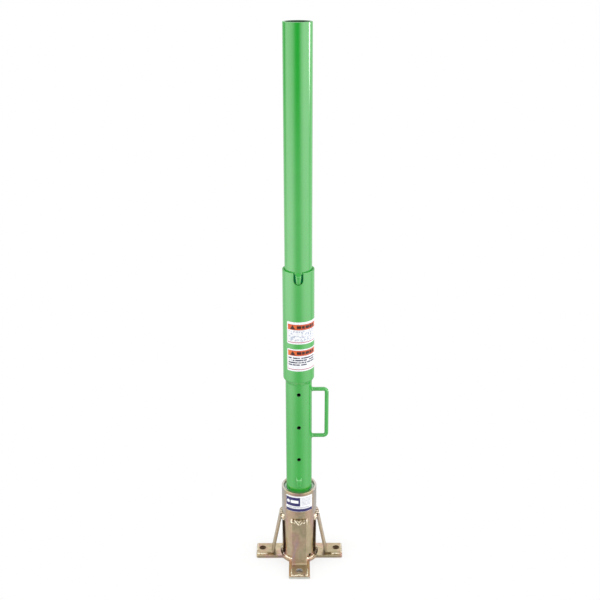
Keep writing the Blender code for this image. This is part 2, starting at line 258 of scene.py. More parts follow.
def evenly(path, step, closed=False):
    """(points a step apart along a path, the step used)."""
    points = [Vector(point) for point in path]
    if closed:
        points.append(points[0])
    ends = [0.0]
    for a, b in zip(points, points[1:]):
        ends.append(ends[-1] + (b - a).length)
    count = max(2, round(ends[-1] / step))
    spaced = []
    k = 0
    for i in range(count if closed else count + 1):
        at = ends[-1] * i / count
        while k < len(points) - 2 and ends[k + 1] < at:
            k += 1
        spaced.append(points[k].lerp(points[k + 1], (at - ends[k]) / max(1e-9, ends[k + 1] - ends[k])))
    return spaced, ends[-1] / count


def sweep(path, radius, sides, closed=False, up=(0, 0, 1)):
    """A round section swept along a path. radius is called with the step and the angle from up."""
    rings = []
    for i, point in enumerate(path):
        before = path[i - 1] if i or closed else point
        after = path[(i + 1) % len(path)] if i < len(path) - 1 or closed else point
        way = (after - before).normalized()
        side = way.cross(Vector(up)).normalized()
        crown = side.cross(way)
        ring = []
        for k in range(sides):
            angle = 2 * math.pi * k / sides
            ring.append(point + (crown * math.cos(angle) + side * math.sin(angle)) * radius(i, angle))
        rings.append(ring)
    return loft(rings, closed)


def bead(path, size, pitch, ripple, lean, seed, closed=False, up=(0, 0, 1)):
    """A weld bead: a round section with crescent ripples, its ends rounded off.

    size is a radius, or gives one for a share of the length. pitch is from ripple to ripple, ripple how
    proud they stand, and lean how far they bow along the bead.
    """
    dice = random.Random(seed)
    points, step = evenly(path, pitch / 6, closed)
    count = len(points)
    waver = [dice.uniform(-1, 1) for _ in range(count // 6 + 3)]

    def radius(i, angle):
        phase = i * step / pitch + lean * (1 - math.cos(angle)) / 2
        crest = abs(math.sin(math.pi * phase))
        k = i / 6
        drift = waver[int(k)] * (1 - k % 1) + waver[int(k) + 1] * (k % 1)
        if closed:
            drift *= min(1, i / 24, (count - i) / 24)
        wide = size(i / count) if callable(size) else size
        full = 1 + ripple * (crest - 0.6) + 0.07 * drift
        if not closed:
            end = min(i, count - 1 - i) * step / wide
            full *= math.sqrt(max(0.02, 1 - (1 - min(1, end)) ** 2))
        return wide * full

    return sweep(points, radius, 12, closed, up)


def rod(diameter, start, end):
    """A round cutter from one point to another."""
    start, end = Vector(start), Vector(end)
    axis = end - start
    place = Matrix.Translation((start + end) / 2) @ axis.to_track_quat("Z", "Y").to_matrix().to_4x4()
    bm = bmesh.new()
    sizes = {"radius1": diameter / 2, "radius2": diameter / 2, "depth": axis.length}
    bmesh.ops.create_cone(bm, cap_ends=True, segments=48, matrix=place, **sizes)
    return plain("cutter", bm)


def stand_up(bm, width):
    """Turns an (x, z) prism upright, its depth centred on the XZ plane."""
    turn = Matrix.Rotation(QUARTER_TURN, 4, "X") @ Matrix.Translation((0, 0, -width / 2))
    bmesh.ops.transform(bm, matrix=turn, verts=bm.verts)
    return bm


def on_circle(radius, heading, height):
    return Vector((radius * math.cos(heading), radius * math.sin(heading), height))


# ---- materials ----


class Nodes:
    """A node tree built by short calls. Inputs are numbers, colours or sockets."""

    def __init__(self, tree):
        self.tree = tree

    def add(self, kind, inputs, **settings):
        node = self.tree.nodes.new("ShaderNode" + kind)
        for name, value in settings.items():
            setattr(node, name, value)
        for name, value in inputs.items():
            self.feed(node.inputs[name], value)
        return node

    def feed(self, socket, value):
        if isinstance(value, bpy.types.NodeSocket):
            self.tree.links.new(value, socket)
        elif isinstance(value, tuple) and len(value) == 3 and socket.type == "RGBA":
            socket.default_value = (*value, 1)
        else:
            socket.default_value = value

    def math(self, operation, a, b=0.0, c=0.0):
        return self.add("Math", {0: a, 1: b, 2: c}, operation=operation).outputs[0]

    def product(self, *values):
        result = values[0]
        for value in values[1:]:
            result = self.math("MULTIPLY", result, value)
        return result

    def reach(self, a, b):
        """The length of the vector (a, b)."""
        return self.math("SQRT", self.math("MULTIPLY_ADD", a, a, self.math("MULTIPLY", b, b)))

    def between(self, value, start, end):
        """1 where value lies between start and end, else 0."""
        return self.math("COMPARE", value, (start + end) / 2, abs(end - start) / 2)

    def fade(self, value, start, end):
        """0 up to start, rising smoothly to 1 at end. start may be the greater."""
        inputs = {"Value": value, "From Min": start, "From Max": end}
        return self.add("MapRange", inputs, interpolation_type="SMOOTHSTEP").outputs["Result"]

    def ramp(self, value, stops):
        """A colour ramp of (position, colour or grey) stops."""
        node = self.add("ValToRGB", {"Fac": value})
        marks = node.color_ramp.elements
        while len(marks) < len(stops):
            marks.new(0.5)
        for mark, (position, colour) in zip(marks, stops):
            mark.position = position
            mark.color = (*colour, 1) if isinstance(colour, tuple) else (colour, colour, colour, 1)
        return node.outputs["Color"]

    def mix(self, share, a, b, blend="MIX"):
        node = self.add("Mix", {}, data_type="RGBA", blend_type=blend)
        for name, value in (("Factor", share), ("A", a), ("B", b)):
            socket = next(s for s in node.inputs if s.name == name and s.enabled)
            self.feed(socket, value)
        return next(s for s in node.outputs if s.enabled)


class Recipe(Nodes):
    """A material's nodes."""

    def __init__(self, name):
        self.material = bpy.data.materials.new(name)
        self.material.use_nodes = True
        super().__init__(self.material.node_tree)
        self.shader = self.tree.nodes["Principled BSDF"]
        self.place = self.add("TexCoord", {}).outputs["Object"]

    def axes(self):
        split = self.add("SeparateXYZ", {"Vector": self.place})
        return [split.outputs[axis] for axis in "XYZ"]

    def arm_axes(self):
        """(distance along the nearest arm, distance to its side, height), the same for all four arms."""
        x, y, z = self.axes()
        x, y = self.math("ABSOLUTE", x), self.math("ABSOLUTE", y)
        return self.math("MAXIMUM", x, y), self.math("MINIMUM", x, y), z

    def stretched(self, x, y, z):
        return self.add("Mapping", {"Vector": self.place, "Scale": (x, y, z)}).outputs["Vector"]

    def noise(self, size, detail=2.0, rough=0.5, place=None, warp=0.0):
        """Noise whose lumps are about size metres across."""
        inputs = {"Vector": place or self.place, "Scale": 1 / size}
        inputs |= {"Detail": detail, "Roughness": rough, "Distortion": warp}
        return self.add("TexNoise", inputs).outputs["Fac"]

    def set(self, **values):
        for name, value in values.items():
            self.feed(self.shader.inputs[name.replace("_", " ").title().replace("Ior", "IOR")], value)

    def bump(self, height, depth, strength):
        made = self.add("Bump", {"Height": height, "Distance": depth, "Strength": strength})
        self.feed(self.shader.inputs["Normal"], made.outputs["Normal"])


IRIDESCENCE = [  # the plating's colours along the streaks: violet, rose, tan, straw, olive, tan
    (0.24, (0.50, 0.40, 0.42)),
    (0.36, (0.61, 0.41, 0.34)),
    (0.46, (0.57, 0.43, 0.29)),
    (0.54, (0.61, 0.49, 0.33)),
    (0.64, (0.51, 0.44, 0.28)),
    (0.76, (0.57, 0.43, 0.30)),
]
PLATING_SPOTS = [(0.35, (0.86, 0.85, 0.84)), (0.65, (1.0, 1.0, 1.0))]
# the weld metal's pale gold, laid in lumps that also stand as painted highlights
PALE_GOLD_AND_HIGHLIGHT = (0.95, 0.88, 0.70)
# painted shade in the welds' low spots and gaps
WELD_PAINTED_SHADE = (0.13, 0.08, 0.04)
# painted shade on the braces' inner faces
BRACE_SHADE_TINT = (0.16, 0.13, 0.11)
# a painted pale grey reflection on the parts that face +X and -X, and how strong it is
FLANK_REFLECTION_GREY, FLANK_REFLECTION_SHARE = (0.62, 0.61, 0.59), 0.75
# a painted highlight on the end face of the plate's front arm
EDGE_HIGHLIGHT_COLOUR = (0.85, 0.85, 0.78)
# painted light and shade: a pale reflection low in the plate, a dark shaded band, a bluish reflection in the
# flange
HOLE_WALL_LIGHT_AND_SHADE = [  # up a front bolt hole's wall, as shares of the height of the flange's top
    (0.0, (0.7, 0.6, 0.45)),
    (0.35, (0.4, 0.3, 0.2)),
    (0.5, (0.05, 0.04, 0.04)),
    (0.66, (0.5, 0.53, 0.58)),
]
# painted shade in the side bolt holes
SIDE_HOLE_PAINTED_SHADE = (0.16, 0.10, 0.06)

COAT_SHADES = [(0.3, (0.012, 0.405, 0.030)), (0.7, (0.016, 0.430, 0.034))]
# painted shade: the dark greens of the sheets in the notch
PAINTED_SHADE_GREENS = [(0.3, (0.0, 0.20, 0.06)), (0.7, (0.0, 0.26, 0.08))]
RUBBED_GREEN, RUB_SHARE = (0.07, 0.50, 0.10), 0.10
# painted shade for the bores and the pin holes' walls
BORE_SHADE_GREEN = (0.0, 0.06, 0.01)
# the painted shade's low IOR keeps its reflection weak
COAT_IOR, PAINTED_SHADE_IOR = 2.2, 1.25
COAT_ROUGHNESS, BORE_ROUGHNESS_MORE = 0.13, 0.7


def green_paint():
    """Gloss powder coat: saturated green, a fine orange peel, and faint clouding and rub marks."""
    look = Recipe("green_powder_coat")
    clouds = look.noise(60 * MM, 3, 0.6)
    shade = look.ramp(clouds, COAT_SHADES)
    rubs = look.noise(5 * MM, 4, 0.65, look.stretched(1, 1, 0.12), 0.6)
    rubbed = look.ramp(rubs, [(0.60, 0.0), (0.78, 1.0)])
    outside = look.mix(look.math("MULTIPLY", rubbed, RUB_SHARE), shade, RUBBED_GREEN)
    # painted shade: the bores and pin holes are coloured dark green, and made rougher
    shaded_bore = bore_shade_mask(look)
    rough = look.math("MULTIPLY_ADD", rubbed, RUB_SHARE, COAT_ROUGHNESS)
    look.set(
        base_color=look.mix(shaded_bore, outside, BORE_SHADE_GREEN),
        roughness=look.math("MULTIPLY_ADD", shaded_bore, BORE_ROUGHNESS_MORE, rough),
        ior=COAT_IOR,
    )
    peel = look.noise(1.8 * MM, 2, 0.5)
    look.bump(peel, 0.02 * MM, 0.5)
    return look.material


def bore_shade_mask(look):
    """1 on the tubes' bores and the pin holes' walls, where shade is painted into the coat as dark green,
    else 0.
    """
    x, y, z = look.axes()
    bore = MAST_RADIUS - MAST_WALL
    mask = look.fade(look.reach(x, y), bore + 0.9 * MM, bore + 0.4 * MM)
    for height in PIN_HOLE_HEIGHTS:
        rise = look.math("SUBTRACT", z, low("lower_tube").z + height)
        wall = look.fade(look.reach(x, rise), PIN_HOLE / 2 + 0.5 * MM, PIN_HOLE / 2 + 0.2 * MM)
        mask = look.math("MAXIMUM", mask, wall)
    return mask


def painted_shade_green():
    """Dark green painted shade, matt and weakly reflecting, for the sheets in the notch."""
    look = Recipe("green_painted_shade")
    look.set(
        base_color=look.ramp(look.noise(8 * MM), PAINTED_SHADE_GREENS),
        roughness=look.math("MULTIPLY_ADD", look.noise(3 * MM), 0.1, 0.6),
        ior=PAINTED_SHADE_IOR,
    )
    return look.material


def yellow_zinc(name, bright=0.0, dull=0.0):
    """Yellow-chromate plating: metal with soft iridescent streaks and a fine drawn grain.

    bright lifts it in lumps toward pale gold, the weld metal's own colour with painted highlights, and
    paints shade in its low spots and in the gaps of a brace weld's ridges; dull makes it rougher.
    """
    look = Recipe(name)
    streaks = look.noise(34 * MM, 2, 0.5, look.stretched(1, 1, 0.35), 0.8)
    spots = look.ramp(look.noise(9 * MM, 3, 0.6), PLATING_SPOTS)
    colour = look.mix(1.0, look.ramp(streaks, IRIDESCENCE), spots, "MULTIPLY")
    if bright:
        # painted highlight: pale gold lumps, partly the weld metal's own colour
        lumps = look.noise(7 * MM, 1, 0.5, None, 0.3)
        colour = look.mix(look.math("MULTIPLY", look.fade(lumps, 0.42, 0.54), bright), colour, PALE_GOLD_AND_HIGHLIGHT)
        # painted shade in low spots and between the chevron ridges
        shaded_low_spots = look.math("MAXIMUM", look.fade(lumps, 0.36, 0.32), chevron_gap_shade(look))
        colour = look.mix(shaded_low_spots, colour, WELD_PAINTED_SHADE)
    else:
        # painted reflection: pale grey on the flanks
        colour = look.mix(flank_reflection_mask(look), colour, FLANK_REFLECTION_GREY)
        # painted highlight on the front arm's end face
        colour = look.mix(front_edge_highlight(look), colour, EDGE_HIGHLIGHT_COLOUR)
        # painted shade on the braces' inner faces
        colour = look.mix(brace_inner_shade(look), colour, BRACE_SHADE_TINT, "MULTIPLY")
        # painted light and shade on the bolt holes' walls
        colour = bolt_hole_light_and_shade(look, colour)
    look.set(
        base_color=colour,
        metallic=1.0,
        roughness=look.math("MULTIPLY_ADD", look.noise(14 * MM, 3), 0.16, 0.14 + dull),
    )
    grain = look.noise(1.2 * MM, 3, 0.6)
    look.bump(grain, 0.02 * MM, 0.4)
    return look.material


def flank_reflection_mask(look):
    """Where a pale grey reflection is painted: high on the sleeve's flanks and on the side braces."""
    x, _, z = look.axes()
    flank = look.fade(look.math("ABSOLUTE", x), 36 * MM, 48 * MM)
    return look.product(flank, look.fade(z, 100 * MM, 200 * MM), FLANK_REFLECTION_SHARE)


def front_edge_highlight(look):
    """1 on the end face of the plate's front arm, where a pale highlight is painted, else 0."""
    _, y, z = look.axes()
    end = look.fade(y, 1.5 * MM - PLATE_REACH, 0.2 * MM - PLATE_REACH)
    return look.product(end, look.fade(z, PLATE_TOP - 1 * MM, PLATE_TOP - 3.5 * MM))


def brace_inner_shade(look):
    """1 on the braces' inner faces, where shade is painted, else 0."""
    along, aside, z = look.arm_axes()
    lean = brace_lean()
    flange_top = PLATE_TOP + BRACE_THICKNESS
    inner = BRACE_FOOT + flange_top * math.tan(lean) - BRACE_THICKNESS / math.cos(lean)
    upright = look.math("MULTIPLY_ADD", z, math.tan(lean), along)
    return look.product(
        look.fade(upright, inner + 1.2 * MM, inner + 0.4 * MM),
        look.math("LESS_THAN", aside, BRACE_WIDTH / 2 + 1 * MM),
        look.math("GREATER_THAN", along, SLEEVE_RADIUS + TOUCH / 2),
        look.math("GREATER_THAN", z, flange_top),
    )


def bolt_hole_light_and_shade(look, colour):
    """The bolt holes' walls, with light and shade painted on: in front a pale bluish reflection in the
    flange and dark shade in the plate, else brown shade.
    """
    x, y, _ = look.axes()
    along, aside, z = look.arm_axes()
    from_middle = look.reach(look.math("SUBTRACT", along, BOLT_CIRCLE), aside)
    wall = look.math("LESS_THAN", from_middle, BOLT_HOLE / 2 + 0.25 * MM)
    shade = look.ramp(look.math("DIVIDE", z, PLATE_TOP + BRACE_THICKNESS), HOLE_WALL_LIGHT_AND_SHADE)
    sideways = look.math("GREATER_THAN", look.math("ABSOLUTE", x), look.math("ABSOLUTE", y))
    return look.mix(wall, colour, look.mix(sideways, shade, SIDE_HOLE_PAINTED_SHADE))


def chevron_gap_shade(look):
    """1 in the gaps between the ridges of a brace's top weld and along their border with its end blobs,
    where shade is painted, else 0. It follows ridge().
    """
    _, aside, z = look.arm_axes()
    rise = look.math("SUBTRACT", z, BRACE_WELD_MIDDLE)
    shifted = look.math("MULTIPLY_ADD", rise, -1 / CHEVRON_SLOPE, aside)
    phase = look.math("MULTIPLY_ADD", shifted, 1 / CHEVRON_PITCH, -CHEVRON_SHIFT / CHEVRON_PITCH)
    crest = look.math("ABSOLUTE", look.math("SINE", look.math("MULTIPLY", phase, math.pi)))
    gaps = look.product(look.fade(crest, 0.68, 0.42), look.math("LESS_THAN", aside, CHEVRON_SPREAD))
    from_border = look.math("ABSOLUTE", look.math("SUBTRACT", aside, CHEVRON_SPREAD))
    border = look.fade(from_border, 1.6 * MM, 0.8 * MM)
    high_up = look.math("GREATER_THAN", z, BRACE_WELD_MIDDLE - 14.5 * MM)
    return look.math("MULTIPLY", look.math("MAXIMUM", gaps, border), high_up)


def pale_plastic():
    """Extruded plastic with faint lines along its length."""
    look = Recipe("pale_liner_plastic")
    lines = look.noise(1.0 * MM, 2, 0.5, look.stretched(1, 1, 0.02))
    look.set(
        base_color=look.ramp(lines, [(0.3, (0.66, 0.70, 0.70)), (0.7, (0.78, 0.81, 0.80))]),
        roughness=look.math("MULTIPLY_ADD", lines, 0.15, 0.38),
    )
    look.bump(lines, 0.03 * MM, 0.4)
    return look.material


def printed_film(name, radius, paint):
    """White film on a cylinder. paint adds the print, in millimetres: u runs round from the front, v up."""
    look = Recipe(name)
    x, y, z = look.axes()
    u = look.math("MULTIPLY", look.math("ARCTAN2", x, look.math("MULTIPLY", y, -1.0)), radius / MM)
    v = look.math("MULTIPLY", z, 1 / MM)
    mottle = look.ramp(look.noise(12 * MM), [(0.3, (0.90, 0.92, 0.95)), (0.7, (0.95, 0.96, 0.98))])
    colour = paint(look, u, v, mottle)
    look.set(
        base_color=colour,
        roughness=look.math("MULTIPLY_ADD", look.noise(8 * MM, 3), 0.12, 0.30),
    )
    look.bump(look.noise(4 * MM, 2), 0.02 * MM, 0.4)
    return look.material


def box_mask(look, u, v, left, bottom, right, top):
    """1 inside a rectangle of the print, else 0."""
    return look.math("MULTIPLY", look.between(u, left, right), look.between(v, bottom, top))


def word_mask(look, u, v, pitch, ink, seed, threshold, bar):
    """Broken bars that stand for lines of small print, with no letters in them.

    pitch is from line to line, and ink the share of it that a line fills. bar is about a bar's length, and
    a higher threshold leaves wider gaps.
    """
    lines = look.math("DIVIDE", v, pitch)
    line = look.math("FLOOR", lines)
    within = look.math("LESS_THAN", look.math("FRACT", lines), ink)
    along = look.math("DIVIDE", u, bar)
    row = look.math("MULTIPLY_ADD", line, 7.31, seed)  # far enough apart for unlike rows
    place = look.add("CombineXYZ", {"X": along, "Y": row, "Z": 0.0}).outputs[0]
    gaps = look.add("TexNoise", {"Vector": place, "Scale": 1.0, "Detail": 1.0}).outputs["Fac"]
    return look.math("MULTIPLY", within, look.math("GREATER_THAN", gaps, threshold))


# The labels' sizes are in millimetres
MAST_LABEL_LEFT, MAST_LABEL_RIGHT = -35.0, 62.0  # round the collar from the front
LABEL_EDGE = 3.0
HEADER_HEIGHT, RULE_HEIGHT = 16.5, 2.0
TRIANGLE_HEIGHT, TRIANGLE_HALF = 12.5, 8.0
ROW_PITCH, ROWS, FULL_ROWS = 6.9, 4, 3
ONE_LINE = 200.0  # a pitch taller than the print, so that a bar has no gap across it
BASE_LABEL_HALF = 43.0
RUST_ORANGE, WARM_ORANGE = (0.72, 0.09, 0.03), (0.82, 0.18, 0.02)
DARK_INK, NAVY_INK, GREY_INK = (0.05, 0.01, 0.01), (0.025, 0.03, 0.08), (0.30, 0.36, 0.52)
PINK_RULE, WINE_RULE = (0.52, 0.12, 0.20), (0.42, 0.03, 0.06)
MAKER_BLUE, MAKER_INK = (0.028, 0.022, 0.135), (0.20, 0.20, 0.30)


def notice_print(bottom, top, margin, small_print):
    """An orange header over a thin frame, with small print in it or soft marks that stand for line art."""

    def paint(look, u, v, colour):
        left, right = MAST_LABEL_LEFT + LABEL_EDGE, MAST_LABEL_RIGHT - LABEL_EDGE
        head_top = top - margin
        head_bottom = head_top - HEADER_HEIGHT
        foot = bottom + 4.5
        for rule in (
            box_mask(look, u, v, left, foot, right, foot + 2.2),
            box_mask(look, u, v, left, foot, left + 0.7, head_top),
        ):
            colour = look.mix(rule, colour, PINK_RULE)
        if small_print:
            colour = print_rows(look, u, v, colour, left, right, bottom, head_bottom - 2)
        else:
            area = box_mask(look, u, v, left + 3, foot + 4, right - 6, head_bottom - 2)
            marks = look.fade(look.noise(6.5 * MM, 2, 0.6, None, 0.8), 0.50, 0.58)
            colour = look.mix(look.product(area, marks, 0.75), colour, GREY_INK)
        return print_header(look, u, v, colour, left, right, head_bottom, head_top)

    return paint


def print_rows(look, u, v, colour, left, right, bottom, top):
    """Rows of small print. The last one stops short."""
    rows = box_mask(look, u, v, left + 2, top - ROWS * ROW_PITCH, right - 6, top)
    blank = box_mask(look, u, v, left + 56, bottom, right, top - FULL_ROWS * ROW_PITCH)
    from_top = look.math("ADD", v, 100 * ROW_PITCH - top)  # kept above 0
    words = word_mask(look, u, from_top, ROW_PITCH, 0.55, seed=3.0, threshold=0.42, bar=3.6)
    words = look.product(rows, look.math("SUBTRACT", 1.0, blank), words)
    return look.mix(words, colour, NAVY_INK)


def print_header(look, u, v, colour, left, right, bottom, top):
    """An orange band between two dark rules, with a plain triangle and a broken bar."""
    head = box_mask(look, u, v, left, bottom, right, top)
    heat = look.ramp(look.noise(22 * MM), [(0.3, RUST_ORANGE), (0.7, WARM_ORANGE)])
    colour = look.mix(head, colour, heat)
    for edge in (bottom, top - RULE_HEIGHT):
        line = box_mask(look, u, v, left + 12, edge, right, edge + RULE_HEIGHT)
        colour = look.mix(look.math("MULTIPLY", line, 0.55), colour, WINE_RULE)
    base, tip = bottom + 2, bottom + 2 + TRIANGLE_HEIGHT
    half = look.math("MULTIPLY", look.math("SUBTRACT", tip, v), TRIANGLE_HALF / TRIANGLE_HEIGHT)
    aside = look.math("ABSOLUTE", look.math("SUBTRACT", u, left + 15))
    triangle = look.product(look.math("LESS_THAN", aside, half), look.between(v, base, tip))
    field = box_mask(look, u, v, left + 27, bottom + 4, right - 8, top - 4)
    word = look.product(field, word_mask(look, u, v, ONE_LINE, 1.0, seed=11.0, threshold=0.40, bar=3.4))
    return look.mix(look.math("MAXIMUM", triangle, word), colour, DARK_INK)


def maker_print(look, u, v, colour):
    """A blue foot stripe, a plain blue panel with one pale bar and a dot, and faint lines of small print."""
    edge = BASE_LABEL_HALF - 0.6
    stripe = box_mask(look, u, v, -edge, 184.6, edge, 194.2)
    panel = box_mask(look, u, v, -edge, 203.5, 3.0, 233.5)
    bar = box_mask(look, u, v, -26.5, 213.5, -2.0, 223.5)
    from_dot = look.reach(look.math("SUBTRACT", u, -34.5), look.math("SUBTRACT", v, 218.5))
    pale = look.math("MAXIMUM", bar, look.math("LESS_THAN", from_dot, 5.4))
    shown = look.product(panel, look.math("SUBTRACT", 1.0, pale))
    colour = look.mix(look.math("MAXIMUM", stripe, shown), colour, MAKER_BLUE)
    side_lines = box_mask(look, u, v, 7, 205, 38, 232)
    lines = look.product(side_lines, word_mask(look, u, v, 4.6, 0.42, seed=5.0, threshold=0.42, bar=1.8))
    foot_line = box_mask(look, u, v, -38, 196.6, 34, 201)
    foot = look.product(foot_line, word_mask(look, u, v, 50.0, 1.0, seed=8.0, threshold=0.46, bar=1.8))
    ink = look.math("MULTIPLY", look.math("MAXIMUM", lines, foot), 0.6)
    return look.mix(ink, colour, MAKER_INK)


# ---- floor base ----


def plate_outline():
    """A disc with four square-ended arms."""
    half = PLATE_ARM / 2
    root = math.asin(half / PLATE_DISC)
    tip = rounded_path(
        [(PLATE_DISC * math.cos(root), -half), (PLATE_REACH, -half), (PLATE_REACH, half), (0, half)],
        [5 * MM, 5 * MM],
        steps=6,
    )[:-1]
    outline = []
    for arm in range(4):
        turn = Matrix.Rotation(arm * QUARTER_TURN, 2)
        outline += [turn @ point for point in tip]
        between = QUARTER_TURN - 2 * root
        for step in range(12):
            outline.append(on_circle(PLATE_DISC, arm * QUARTER_TURN + root + between * step / 12, 0).xy)
    return outline


def base_plate(zinc):
    plate = plain("base_plate_steel", prism(plate_outline(), PLATE_TOP))
    below, above = Vector((0, 0, -1 * MM)), Vector((0, 0, PLATE_TOP + 1 * MM))
    holes = []
    for arm in range(4):
        at = on_circle(BOLT_CIRCLE, arm * QUARTER_TURN, 0)
        holes.append(rod(BOLT_HOLE, at + below, at + above))
    carve(plate, holes, 1.1 * MM)
    dress(plate, zinc, "base", "yellow_zinc", "base_plate")


def base_sleeve(zinc):
    outer, inner = SLEEVE_RADIUS, SLEEVE_RADIUS - SLEEVE_WALL
    outline = rounded(
        [
            (inner, SLEEVE_BOTTOM, 0),
            (outer, SLEEVE_BOTTOM, 0),
            (outer, SLEEVE_TOP, 1.6 * MM),
            (inner, SLEEVE_TOP, 1.2 * MM),
        ]
    )
    sleeve = plain("base_sleeve_steel", turned(outline))
    ends = (on_circle(r, DRAIN_HEADING, DRAIN_HEIGHT) for r in (inner - 5 * MM, outer + 9 * MM))
    carve(sleeve, [rod(DRAIN_HOLE, *ends)], 0.5 * MM)
    dress(sleeve, zinc, "base", "yellow_zinc", "base_sleeve")


def foot_weld(bright):
    radius = SLEEVE_RADIUS + 1.4 * MM
    ring = [on_circle(radius, 2 * math.pi * k / 96, PLATE_TOP + 1.6 * MM) for k in range(96)]
    bm = bead(ring, 4.2 * MM, pitch=6.4 * MM, ripple=0.30, lean=1.1, closed=True, seed=4)
    piece("sleeve_foot_weld_bead", bm, bright, "base", "zinc_weld", "sleeve_foot_weld", crease=60)


def brace_lean():
    """How far a brace leans in from upright."""
    rise = BRACE_TOP - PLATE_TOP - BRACE_THICKNESS / 2
    return math.atan((BRACE_FOOT - SLEEVE_RADIUS - BRACE_THICKNESS) / rise)


def brace_path():
    """The middle line of a brace in (x, z): along the plate, up the bend, and in to the sleeve."""
    half = BRACE_THICKNESS / 2
    lying = PLATE_TOP + TOUCH + half
    wall = SLEEVE_RADIUS + TOUCH
    lean = brace_lean()
    corners = [
        (BRACE_REACH, lying),
        (BRACE_FOOT - half, lying),
        (wall + half / math.cos(lean) + 0.5 * MM, BRACE_TOP - 0.5 * MM),
    ]
    return rounded_path(corners, [BRACE_BEND])


def turn_to(side, bm):
    """The same mesh made for the +X arm, turned to another arm."""
    turn = Matrix.Rotation(SIDES.index(side) * QUARTER_TURN, 4, "Z")
    bmesh.ops.transform(bm, matrix=turn, verts=bm.verts)
    return bm


def brace(side, zinc):
    half = BRACE_THICKNESS / 2
    path = brace_path()
    bm = stand_up(prism(beside(path, half) + beside(path, -half)[::-1], BRACE_WIDTH), BRACE_WIDTH)
    bar = plain(f"brace_{side}_bar", turn_to(side, bm))
    at = on_circle(BOLT_CIRCLE, SIDES.index(side) * QUARTER_TURN, 0)
    carve(bar, [rod(BOLT_HOLE, at, at + Vector((0, 0, 4 * PLATE_TOP)))], 1.0 * MM)
    dress(bar, zinc, "base", "yellow_zinc", f"brace_{side}")


def brace_weld(side, bright):
    """A heavy bead over a brace's top end: ridges run down to the middle, with a blob at each end."""
    rings = []
    steps, sides = 112, 56
    for i in range(steps + 1):
        y = BRACE_WELD_HALF * (2 * i / steps - 1)
        past = max(0.0, (abs(y) - BRACE_WELD_HALF) / BRACE_WELD_TAPER + 1)
        end = math.sqrt(max(0.02, 1 - past**2.5))
        on_bar = min(1.0, max(0.0, (CHEVRON_SPREAD + 4 * MM - abs(y)) / (4 * MM)))
        centre = sleeve_x(y) + 3.2 * MM * on_bar
        ring = []
        for k in range(sides):
            angle = 2 * math.pi * k / sides
            out, up = math.cos(angle), math.sin(angle)
            z = BRACE_WELD_TALL * end * math.copysign(abs(up) ** 0.8, up)
            deep = BRACE_WELD_DEEP * end * math.copysign(abs(out) ** 0.7, out)
            lift = ridge(y, z) * max(0.0, out) ** 0.5 * end
            x = centre + deep + CHEVRON_STAND * (lift - 0.4)
            ring.append((x, y, BRACE_WELD_MIDDLE + z))
        rings.append(ring)
    bm = turn_to(side, loft(rings))
    node = f"brace_weld_{side}"
    piece(f"{node}_bead", bm, bright, "base", "zinc_weld", node, crease=80)


def ridge(y, z):
    """How proud the bead stands at a point: 1 on a ridge, 0 in the gap beside it."""
    aside = abs(y)
    if aside > CHEVRON_SPREAD:
        across = (aside - (CHEVRON_SPREAD + BRACE_WELD_HALF) / 2) / (BRACE_WELD_HALF - CHEVRON_SPREAD)
        lumps = 0.75 + 0.25 * math.cos(4 * math.pi * z / (15 * MM))
        return math.sqrt(max(0.0, 1 - (2 * across) ** 2)) * lumps
    phase = (aside - z / CHEVRON_SLOPE - CHEVRON_SHIFT) / CHEVRON_PITCH
    return math.sin(math.pi * phase) ** 2


def sleeve_x(y):
    return math.sqrt(SLEEVE_RADIUS**2 - min(abs(y), SLEEVE_RADIUS) ** 2)


def flange_weld(side, bright):
    """A bead on the plate round the three free edges of a brace's flange."""
    start, end, wide = 97 * MM, BRACE_REACH + 0.5 * MM, BRACE_WIDTH / 2 + 0.9 * MM
    height = PLATE_TOP + 1.0 * MM
    corners = [(start, -wide), (end, -wide), (end, wide), (start, wide)]
    path = [(x, y, height) for x, y in rounded_path(corners, [3 * MM, 3 * MM], 5)]
    size = blobby(9, 3.1 * MM, spread=0.22, lumps=17)
    bm = bead(path, size, pitch=4.4 * MM, ripple=0.24, lean=0.9, seed=9)
    node = f"flange_weld_{side}"
    piece(f"{node}_bead", turn_to(side, bm), bright, "base", "zinc_weld", node, crease=60)


def blobby(seed, size, spread, lumps):
    """A bead size that swells and thins at random along the bead."""
    dice = random.Random(seed)
    levels = [size * (1 + spread * dice.uniform(-1, 1)) for _ in range(lumps + 1)]

    def at(share):
        k = min(share, 0.9999) * lumps
        ease = (1 - math.cos(math.pi * (k % 1))) / 2
        return levels[int(k)] * (1 - ease) + levels[(int(k) + 1) % (lumps + 1)] * ease

    return at


def sleeve_liner(plastic):
    outer = high("sleeve_liner").x
    bottom, top = low("sleeve_liner").z, high("sleeve_liner").z
    outline = rounded(
        [(LINER_BORE, bottom, 0), (outer, bottom, 0), (outer, top, 0.6 * MM), (LINER_BORE, top, 1.0 * MM)]
    )
    piece("sleeve_liner_tube", turned(outline), plastic, "liner", "grey_plastic", "sleeve_liner")


# ---- masts ----


def mast_tube(node, inner_rounding):
    """A mast's tube. inner_rounding is for the bore's upper edge."""
    outer, inner = MAST_RADIUS, MAST_RADIUS - MAST_WALL
    bottom, top = low(node).z, high(node).z
    corners = [(inner, bottom, 1 * MM), (outer, bottom, 1.5 * MM)]
    corners += [(outer, top, 1 * MM), (inner, top, inner_rounding)]
    return turned(rounded(corners))


def upper_tube(green):
    bm = mast_tube("upper_tube", 0.8 * MM)
    piece("upper_tube_painted", bm, green, "upper_mast", "green_paint", "upper_tube")


